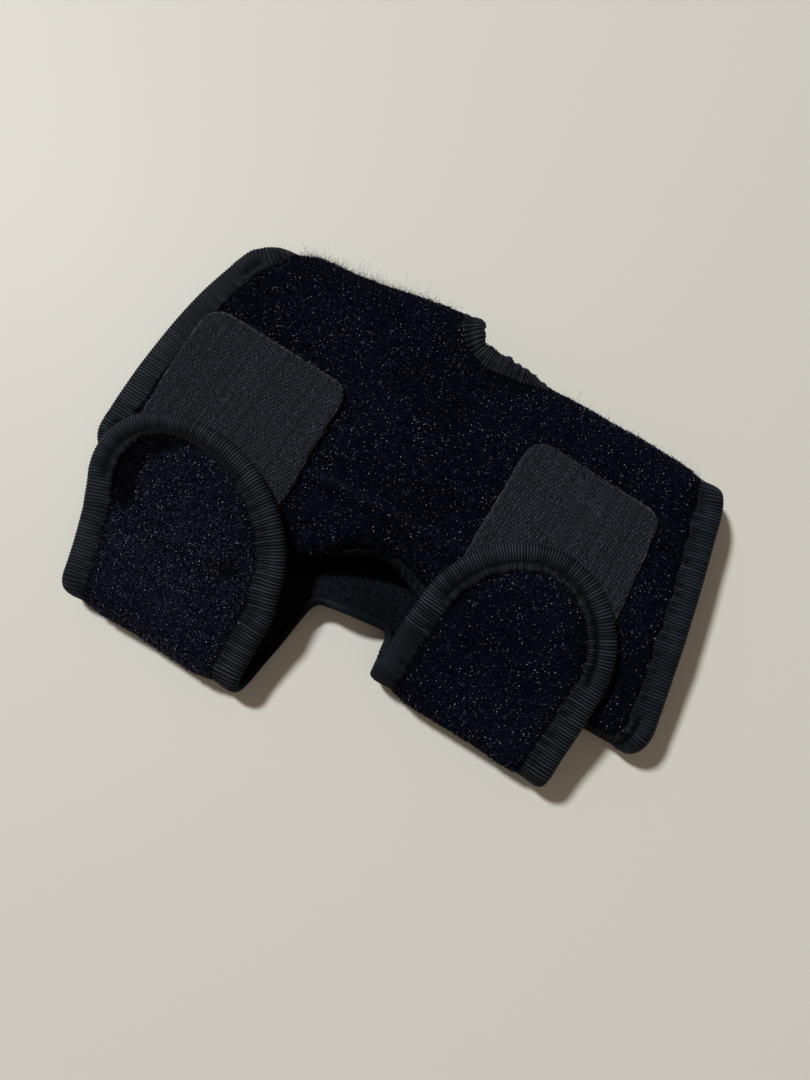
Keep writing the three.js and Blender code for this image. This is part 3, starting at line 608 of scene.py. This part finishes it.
def build_tab(name, t, material):
    ribs, per = t["ribs"], 4
    nx, ny = ribs * per, 46
    half, mid = (t["x1"] - t["x0"]) / 2, (t["x0"] + t["x1"]) / 2
    c = np.linspace(-1, 1, nx + 1)
    v = np.linspace(0, 1, ny + 1)
    u, vv = np.meshgrid(c, v)
    y = t["y_root"] + (t["y_end"] + t["slant"] * (1 - u) / 2 - t["y_root"]) * vv
    r = np.where(u < 0, *t["corners"])
    over = np.maximum(0, np.abs(u) * half - (half - r))
    y = y - (r - np.sqrt(np.maximum(0, r * r - over * over))) * vv**6
    x = mid + u * half * (1 - t["taper"] * (2 * vv - 1))
    rng = np.random.default_rng(3 if mid < 0 else 4)
    ragged = np.interp(np.arange(ny + 1), np.arange(0, ny + 4, 2), rng.normal(0, 0.10, len(np.arange(0, ny + 4, 2))))
    x = x + (np.abs(u) > 0.985) * ragged[:, None]
    y = y + (vv > 0.99) * np.interp(c, np.linspace(-1, 1, 90), rng.normal(0, 0.10, 90))[None, :]
    e = 0.5
    sx = (upper_plain(x + e, y) - upper_plain(x - e, y)) / (2 * e)
    sy = (upper_plain(x, y + e) - upper_plain(x, y - e)) / (2 * e)
    n = np.stack([-sx, -sy, np.ones_like(sx)], -1)
    n /= np.linalg.norm(n, axis=-1, keepdims=True)
    base = np.stack([x, y, upper_plain(x, y)], -1)
    rim = np.minimum((1 - np.abs(u)) * half, (1 - vv) * (t["y_end"] - t["y_root"]))
    curl = 0.9 * smooth(9, 0, rim) * smooth(0.35, 1.0, vv) + 0.35 * np.exp(-((u - 0.9) ** 2 + (vv - 0.9) ** 2) / 0.06)
    turn = ribs * (u + 1) / 2 + t["skew"] * vv
    rib = 0.5 + 0.5 * np.cos(2 * math.pi * turn)
    number = np.round(turn).astype(int) + 12
    hooks = 0.5 + 0.5 * np.cos(2 * math.pi * (vv * 66 + 0.5 * (number % 2)))
    uneven = rng.uniform(0.78, 1.05, ribs + 30)[number]
    h0 = PANEL_THICK / 2 + TAB_GAP + 0.15
    top = h0 + TAB_THICK * (0.86 - 0.35 * smooth(0.8, 0, rim)) + 0.26 * (rib - 0.5) + 0.05 * hooks * rib + curl * 0.45
    low = h0 + curl * 0.45
    faces = []
    w, m = nx + 1, (nx + 1) * (ny + 1)
    i, j = np.meshgrid(np.arange(nx), np.arange(ny))
    a = (j * w + i).ravel()
    quad = np.stack([a, a + 1, a + w + 1, a + w], -1)
    rim_ids = np.concatenate([np.arange(nx), nx + w * np.arange(ny), ny * w + np.arange(nx, 0, -1), w * np.arange(ny, 0, -1)])
    nxt = np.roll(rim_ids, -1)
    faces = np.vstack([quad, quad[:, ::-1] + m, np.stack([rim_ids, rim_ids + m, nxt + m, nxt], -1)])
    verts = np.concatenate([(base + n * top[..., None]).reshape(-1, 3), (base + n * low[..., None]).reshape(-1, 3)])
    loose = 0.25 + 0.75 * (smooth(0.2, 0.9, u) if mid > 0 else np.exp(-(((vv - 0.90) / 0.12) ** 2)) + np.exp(-(((vv - 0.55) / 0.05) ** 2)))
    fray = np.clip(rng.normal(0.25, 0.40, u.shape), 0, 1) * smooth(0.6, 0.05, rim) * loose
    tone = np.concatenate([np.stack([np.clip(rib**1.4 * (0.7 + 0.3 * hooks) * uneven, 0, 1), hooks, np.clip(fray, 0, 1)], -1).reshape(-1, 3), np.zeros((m, 3))])
    return new_mesh(name, verts, faces, [material], colour=tone), dict(x=x, y=y, p=base + n * top[..., None], n=n)


# ---- pile, frayed ends and stitches ------------------------------------------
def blades(root, up, length, width, lean, tone, name, material, rng):
    """Short bent fibres, each of two triangles, as one mesh."""
    n = len(root)
    side = rng.normal(size=(n, 3))
    side -= (side * up).sum(1)[:, None] * up
    side /= np.linalg.norm(side, axis=1, keepdims=True)
    away = np.cross(up, side)
    bend = away * lean[:, None]
    tip = root + up * (length * 0.78)[:, None] + bend * length[:, None]
    knee = root + up * (length * 0.55)[:, None] + bend * (length * 0.28)[:, None] + side * (width * 0.45)[:, None]
    v = np.stack([root - side * width[:, None] / 2, root + side * width[:, None] / 2, knee, tip], 1).reshape(-1, 3)
    b = np.arange(n)[:, None] * 4
    faces = np.concatenate([b + [0, 1, 2], b + [0, 2, 3]])
    return new_mesh(name, v, faces, [material], smooth_shade=False, colour=np.repeat(tone, 4))


def on_tab(x, y, grow=0.2):
    hit = np.zeros(len(x), bool)
    for t in TABS.values():
        hit |= (x > t["x0"] - grow) & (x < t["x1"] + grow) & (y < t["y_end"] + grow) & (y > t["y_root"] - 30)
    return hit


def under_strap(x, y, grow=-1.2):
    hit = np.zeros(len(x), bool)
    for s in STRAPS.values():
        dy = np.maximum(0, y - s["cy"])
        across = np.abs(x - s["cx"] - s["lean"] * dy) / (s["half"] + grow)
        hit |= across ** s["power"] + (dy / (s["height"] + grow)) ** s["power"] < 1
    return hit


def sample(panel, keep, density, rng):
    """Even random points on the kept faces of the loop side: position, normal, distance from the edge, painted shade,
    and their count.
    """
    tris = panel["tris"][keep]
    a, b, c = (panel["outer"][tris[:, k]] for k in range(3))
    area = np.linalg.norm(np.cross(b - a, c - a), axis=1) / 2
    n = int(area.sum() * density)
    pick = rng.choice(len(tris), n, p=area / area.sum())
    s, t = rng.random(n), rng.random(n)
    over = s + t > 1
    s[over], t[over] = 1 - s[over], 1 - t[over]
    mix = lambda v: v[tris[pick, 0]] * (1 - s - t)[:, None] + v[tris[pick, 1]] * s[:, None] + v[tris[pick, 2]] * t[:, None]
    nn = np.cross(b - a, c - a)[pick]
    return mix(panel["outer"]), nn / np.linalg.norm(nn, axis=1, keepdims=True), mix(panel["d"][:, None])[:, 0], mix(panel["shade"][:, None])[:, 0], n


def build_pile(panel, material, tone_and_painted_light):
    """The brushed loops of the outer face where it shows: the upper layer with the spine, and the straps."""
    made = []
    tris, kind = panel["tris"], panel["kind"]
    k3, d3 = kind[tris], panel["d"][tris].min(1)
    mid = panel["outer"][tris].mean(1)
    hidden = np.isin(k3[:, 0], (UPPER,)) & (on_tab(mid[:, 0], mid[:, 1]) | under_strap(mid[:, 0], mid[:, 1]))
    zones = {
        "pile_upper": (np.isin(k3[:, 0], (UPPER, SPINE)) & ~hidden & (mid[:, 2] > 1.2), 31),
        "pile_strap_left": (np.isin(k3[:, 0], (STRAP, TURN)) & (mid[:, 2] > 1.2) & (mid[:, 0] < 0), 32),
        "pile_strap_right": (np.isin(k3[:, 0], (STRAP, TURN)) & (mid[:, 2] > 1.2) & (mid[:, 0] > 0), 33),
    }
    for name, (zone, seed) in zones.items():
        keep = zone & (d3 > lip_end(mid[:, 0], mid[:, 1], k3[:, 0]) - 1.1)
        rng = np.random.default_rng(seed)
        a, b, c = (panel["outer"][tris[keep][:, k]] for k in range(3))
        area = (np.linalg.norm(np.cross(b - a, c - a), axis=1) / 2).sum()
        density = min(7.6, 96000 / area)
        root, up, d, shade, n = sample(panel, keep, density, rng)
        # Glints are painted highlights: small flat flecks in bright colours, fewer where shade is painted; the other
        # fibres carry the painted shade in their tone.
        glint = rng.random(n) < (0.125 if name == "pile_strap_left" else 0.128) * np.clip(shade, 0.15, 1)
        near = smooth(8.2, 11, d)
        length = (0.60 + 0.45 * rng.random(n) ** 2 + 0.6 * (rng.random(n) < 0.05)) * (0.75 + 0.25 * near)
        length = np.where(glint, 0.19 + 0.08 * rng.random(n), length)
        width = np.where(glint, 0.17 + 0.13 * rng.random(n), 0.12 + 0.06 * rng.random(n))
        lean = np.where(glint, 1.0 + 0.6 * rng.random(n), np.abs(rng.normal(0.75, 0.45, n)))
        tone = np.where(glint, (0.52 + 0.48 * rng.random(n) ** 2.8) * np.clip(0.9 + 0.1 * shade, 0.8, 1), np.minimum(0.5 * rng.random(n) * np.clip(shade, 0.15, 1.7), 0.57))
        # The left strap's fibres take the lighter copy of the pile's colours, a painted sheen.
        made.append(blades(root + up * np.where(glint, 0.34, -0.08)[:, None], up, length, width, lean, np.minimum(tone, 1), name, tone_and_painted_light if name == "pile_strap_left" else material, rng))
    return made


def tube_path(points, radius, sides=5):
    """Vertices and quads of a thin thread through points, (n, m, 3): n threads of m points each, with the ends left
    open.
    """
    n, m, _ = points.shape
    t = np.gradient(points, axis=1)
    t /= np.linalg.norm(t, axis=-1, keepdims=True)
    ref = np.where(np.abs(t[..., 2:]) < 0.9, np.array([0, 0, 1.0]), np.array([1.0, 0, 0]))
    a = np.cross(t, ref)
    a /= np.linalg.norm(a, axis=-1, keepdims=True)
    b = np.cross(t, a)
    ang = np.arange(sides) * 2 * math.pi / sides
    ring = points[:, :, None, :] + radius * (a[:, :, None, :] * np.cos(ang)[None, None, :, None] + b[:, :, None, :] * np.sin(ang)[None, None, :, None])
    base = (np.arange(n)[:, None, None] * m + np.arange(m - 1)[None, :, None]) * sides
    k = np.arange(sides)[None, None, :]
    k2 = (k + 1) % sides
    quads = np.stack([base + k, base + k2, base + sides + k2, base + sides + k], -1).reshape(-1, 4)
    return ring.reshape(-1, 3), quads


def build_fuzz(panel, material):
    """Stray fibres that stand out of the brushed face along the spine, most of them on its left half."""
    tris, kind = panel["tris"], panel["kind"]
    mid = panel["outer"][tris].mean(1)
    keep = (kind[tris][:, 0] == SPINE) & (mid[:, 2] > 4) & (panel["d"][tris].min(1) > 8.5)
    rng = np.random.default_rng(41)
    root, up, _, _, n = sample(panel, keep, 2.4, rng)
    share = 0.14 + 0.86 * smooth(-97, -86, root[:, 0]) * (1 - smooth(-50, -12, root[:, 0]))
    chosen = rng.random(n) < share
    root, up, n = root[chosen], up[chosen], int(chosen.sum())
    length = np.minimum(0.9 + rng.exponential(0.75, n), 4.4)
    out = up + rng.normal(0, 0.42, (n, 3))
    out /= np.linalg.norm(out, axis=1, keepdims=True)
    bend = rng.normal(0, 0.45, (n, 3))
    t = np.linspace(0, 1, 4)
    path = root[:, None, :] + (out[:, None, :] * t[None, :, None] + bend[:, None, :] * (t**2)[None, :, None]) * length[:, None, None]
    v, quads = tube_path(path, 0.026, 3)
    return new_mesh("stray_fibres", v, quads, [material])


def build_stitches(name, loop_points, material, inset, half, pitch):
    """Zigzag sewing that holds the tape's lip to the loop face."""
    _, length = evenly(loop_points, 1.0)
    count = int(length / pitch) // 2 * 2
    loop, _ = evenly(loop_points, length / count)
    loop = loop[:count]
    d_in = across(loop)
    zig = np.where(np.arange(count) % 2 == 0, inset - half, inset + half)
    a, b = loop + d_in * zig[:, None], np.roll(loop + d_in * zig[:, None], -1, axis=0)
    t = np.linspace(0, 1, 5)
    q = a[:, None, :] * (1 - t)[None, :, None] + b[:, None, :] * t[None, :, None]
    p, _ = cloth(q[..., 0].ravel(), q[..., 1].ravel())
    n = cloth_normal(q[..., 0].ravel(), q[..., 1].ravel())
    rise = (1.45 + 0.26 * np.sin(math.pi * t))[None, :].repeat(count, 0).ravel()
    path = (p + n * rise[:, None]).reshape(count, 5, 3)
    v, quads = tube_path(path, 0.10)
    return new_mesh(name, v, quads, [material])


# ---- materials ---------------------------------------------------------------
def material(name, rough, spec=0.5, sheen=0.0, sheen_rough=0.5):
    m = bpy.data.materials.new(name)
    m.use_nodes = True
    t = m.node_tree
    b = t.nodes["Principled BSDF"]
    b.inputs["Roughness"].default_value = rough
    b.inputs["Specular IOR Level"].default_value = spec
    b.inputs["Sheen Weight"].default_value = sheen
    b.inputs["Sheen Roughness"].default_value = sheen_rough
    return m, t, b


def node(t, kind, **values):
    n = t.nodes.new(kind)
    for k, v in values.items():
        if k in n.inputs:
            n.inputs[k].default_value = v
        else:
            setattr(n, k, v)
    return n


def ramp(t, source, stops):
    r = t.nodes.new("ShaderNodeValToRGB")
    while len(r.color_ramp.elements) < len(stops):
        r.color_ramp.elements.new(0.5)
    for e, (at, rgb) in zip(r.color_ramp.elements, stops):
        e.position = at
        e.color = (*rgb, 1)
    t.links.new(source, r.inputs["Fac"])
    return r.outputs["Color"]


def noise(t, scale, detail=2.0, rough=0.5):
    c = t.nodes.new("ShaderNodeTexCoord")
    n = node(t, "ShaderNodeTexNoise", Scale=scale, Detail=detail, Roughness=rough)
    t.links.new(c.outputs["Object"], n.inputs["Vector"])
    return n.outputs["Fac"]


def mix(t, fac, a, b, how="MIX"):
    m = t.nodes.new("ShaderNodeMix")
    m.data_type = "RGBA"
    m.blend_type = how
    for value, socket in ((fac, m.inputs[0]), (a, m.inputs[6]), (b, m.inputs[7])):
        if isinstance(value, (int, float)):
            socket.default_value = value
        elif isinstance(value, tuple):
            socket.default_value = (*value, 1)
        else:
            t.links.new(value, socket)
    return m.outputs[2]


def bump(t, b, height, strength, distance):
    n = node(t, "ShaderNodeBump", Strength=strength, Distance=distance)
    t.links.new(height, n.inputs["Height"])
    t.links.new(n.outputs["Normal"], b.inputs["Normal"])


def tone_of(t):
    a = t.nodes.new("ShaderNodeAttribute")
    a.attribute_name = "tone"
    return a


def loop_cloth():
    m, t, b = material("loop_cloth_look", 0.9, 0.05)
    grain = noise(t, 1900, 3, 0.65)
    base = ramp(t, grain, [(0.30, (0.0004, 0.0008, 0.0025)), (0.55, (0.0017, 0.0031, 0.0086)), (0.72, (0.0080, 0.0118, 0.0250))])
    patch = noise(t, 55, 3, 0.6)
    base = mix(t, 1.0, base, ramp(t, patch, [(0.3, (0.75, 0.75, 0.78)), (0.7, (1.2, 1.2, 1.15))]), "MULTIPLY")
    # The tone attribute brings in the colour factor from relief(), mostly painted shade and highlights.
    a = tone_of(t)
    base = mix(t, 1.0, base, ramp(t, a.outputs["Fac"], [(0.0, (0.0, 0.0, 0.0)), (1.0, (2.0, 2.0, 2.0))]), "MULTIPLY")
    t.links.new(base, b.inputs["Base Color"])
    bump(t, b, grain, 0.9, 0.0005)
    return m


def pile_fibre(name, stops):
    m, t, b = material(name, 0.6, 0.06)
    t.links.new(ramp(t, tone_of(t).outputs["Fac"], stops), b.inputs["Base Color"])
    return m


def lining_felt():
    m, t, b = material("lining_look", 0.95, 0.05)
    grain = noise(t, 1300, 3, 0.65)
    base = ramp(t, grain, [(0.36, (0.0010, 0.0015, 0.0027)), (0.5, (0.0033, 0.0046, 0.0076)), (0.66, (0.0105, 0.0132, 0.0190))])
    # The tone attribute brings in the lining's painted shade.
    base = mix(t, 1.0, base, ramp(t, tone_of(t).outputs["Fac"], [(0.0, (0.0, 0.0, 0.0)), (1.0, (2.0, 2.0, 2.0))]), "MULTIPLY")
    t.links.new(base, b.inputs["Base Color"])
    bump(t, b, grain, 0.8, 0.0004)
    return m


def tape_cloth():
    m, t, b = material("binding_look", 0.55, 0.05)
    a = tone_of(t)
    # The tone attribute carries the tape's tone from build_tape, with its painted highlight and shade.
    base = ramp(t, a.outputs["Fac"], [(0.0, (0.0002, 0.0003, 0.0005)), (0.35, (0.0046, 0.0064, 0.0092)), (1.0, (0.0295, 0.0395, 0.0520))])
    grain = noise(t, 2600, 2, 0.6)
    wear = noise(t, 90, 3, 0.6)
    base = mix(t, 1.0, base, ramp(t, grain, [(0.3, (0.7, 0.7, 0.7)), (0.7, (1.3, 1.3, 1.3))]), "MULTIPLY")
    base = mix(t, 1.0, base, ramp(t, wear, [(0.3, (0.8, 0.8, 0.82)), (0.7, (1.2, 1.2, 1.18))]), "MULTIPLY")
    t.links.new(base, b.inputs["Base Color"])
    bump(t, b, grain, 0.5, 0.0002)
    return m


def hook_tape():
    m, t, b = material("hook_tape_look", 0.6, 0.04)
    a = tone_of(t)
    parts = t.nodes.new("ShaderNodeSeparateColor")
    t.links.new(a.outputs["Color"], parts.inputs["Color"])
    ribs = ramp(t, parts.outputs["Red"], [(0.0, (0.0004, 0.0006, 0.0010)), (0.4, (0.0095, 0.0114, 0.0165)), (1.0, (0.0600, 0.0700, 0.0920))])
    grain = noise(t, 1500, 2, 0.6)
    base = mix(t, 1.0, ribs, ramp(t, grain, [(0.32, (0.25, 0.25, 0.25)), (0.5, (0.85, 0.85, 0.85)), (0.68, (2.0, 2.0, 2.0))]), "MULTIPLY")
    base = mix(t, parts.outputs["Blue"], base, (0.16, 0.165, 0.175))
    t.links.new(base, b.inputs["Base Color"])
    bump(t, b, grain, 0.6, 0.0003)
    return m


def plain(name, rgb, rough, spec=0.3):
    m, _, b = material(name, rough, spec)
    b.inputs["Base Color"].default_value = (*rgb, 1)
    return m


# ---- assembling --------------------------------------------------------------
LOOP, LINING, TAPE, HOOK = loop_cloth(), lining_felt(), tape_cloth(), hook_tape()
FIBRE = pile_fibre("pile_fibre_look", [(0.0, (0.0005, 0.0010, 0.0031)), (0.5, (0.0058, 0.0092, 0.0226)), (0.6, (0.027, 0.034, 0.060)), (0.8, (0.13, 0.15, 0.20)), (1.0, (0.46, 0.50, 0.58))])
# A lighter, greyer copy of the pile's colours for the left strap: painted sheen.
PAINTED_SHEEN_PILE = pile_fibre("pile_painted_sheen_look", [(0.0, (0.0012, 0.0016, 0.0036)), (0.5, (0.0385, 0.0435, 0.0770)), (0.6, (0.052, 0.058, 0.094)), (0.8, (0.17, 0.185, 0.22)), (1.0, (0.52, 0.54, 0.60))])
THREAD = plain("thread_look", (0.0055, 0.0065, 0.0078), 0.55, 0.1)

panel_obj, panel = build_panel([LOOP, LINING])
edge_obj, edge_length = build_tape("edge_tape", OUTLINE, TAPE, False)
hole_obj, hole_length = build_tape("elbow_hole_tape", hole_circle(), TAPE, True)
tab_left, tab_left_at = build_tab("hook_tab_left_cloth", TABS["left"], HOOK)
tab_right, tab_right_at = build_tab("hook_tab_right_cloth", TABS["right"], HOOK)
piles = build_pile(panel, FIBRE, PAINTED_SHEEN_PILE)
piles.append(build_fuzz(panel, plain("stray_fibre_look", (0.0075, 0.0085, 0.0120), 0.6, 0.1)))
stitches = build_stitches("edge_stitches", OUTLINE, THREAD, 7.2, 1.1, 2.3)

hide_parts("wrap_panel")
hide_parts("edge_binding")
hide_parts("elbow_hole_binding")
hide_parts("hook_tab_left")
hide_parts("hook_tab_right")
for o, s in ((panel_obj, "loop_cloth"), (edge_obj, "binding_tape"), (hole_obj, "binding_tape"), (tab_left, "hook_tape"), (tab_right, "hook_tape"), (stitches, "binding_tape"), *((p, "loop_cloth") for p in piles)):
    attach(o, "root")

# ---- floor, light and camera -------------------------------------------------
floor_me = bpy.data.meshes.new("floor")
floor_me.from_pydata([(-3, -3, 0), (3, -3, 0), (3, 3, 0), (-3, 3, 0)], [], [(0, 1, 2, 3)])
floor_me.materials.append(plain("floor_look", (0.632, 0.630, 0.580), 0.55))
floor = bpy.data.objects.new("floor", floor_me)
bpy.context.scene.collection.objects.link(floor)

world = bpy.data.worlds.new("soft_sky")
world.use_nodes = True
world.node_tree.nodes["Background"].inputs["Color"].default_value = (1.0, 0.79, 0.62, 1)
world.node_tree.nodes["Background"].inputs["Strength"].default_value = 0.17
bpy.context.scene.world = world
bpy.context.scene.view_settings.view_transform = "Standard"


def area_light(name, place, size, power, colour):
    light = bpy.data.lights.new(name, "AREA")
    light.shape = "DISK"
    light.size = size
    light.energy = power
    light.color = colour
    o = bpy.data.objects.new(name, light)
    o.location = place
    v = -o.location.normalized()
    o.rotation_euler = v.to_track_quat("-Z", "Y").to_euler()
    bpy.context.scene.collection.objects.link(o)


area_light("key", (-2.75, 1.00, 3.58), 0.60, 212.0, (1.0, 1.0, 1.0))
area_light("fill", (0.9, -0.4, 1.9), 1.4, 2.5, (1.0, 0.86, 0.74))

AZ, EL, RANGE, TARGET = math.radians(29), math.radians(80), 275.0, np.array([4.8, -5.1, 18.0])
back = np.array([math.sin(AZ) * math.cos(EL), -math.cos(AZ) * math.cos(EL), math.sin(EL)])
right = np.array([math.cos(AZ), math.sin(AZ), 0.0])
up = np.cross(back, right)
eye = (TARGET + RANGE * back - ORIGIN) * MM
cam = bpy.data.cameras.new("camera")
cam.lens, cam.sensor_width, cam.sensor_fit = 27.0, 36.0, "AUTO"
cam.clip_start, cam.clip_end = 0.01, 20
camera = bpy.data.objects.new("camera", cam)
camera.matrix_world = Matrix([(*(right[i], up[i], back[i]), eye[i]) for i in range(3)] + [(0, 0, 0, 1)])
bpy.context.scene.collection.objects.link(camera)
bpy.context.scene.camera = camera

bpy.context.view_layer.update()
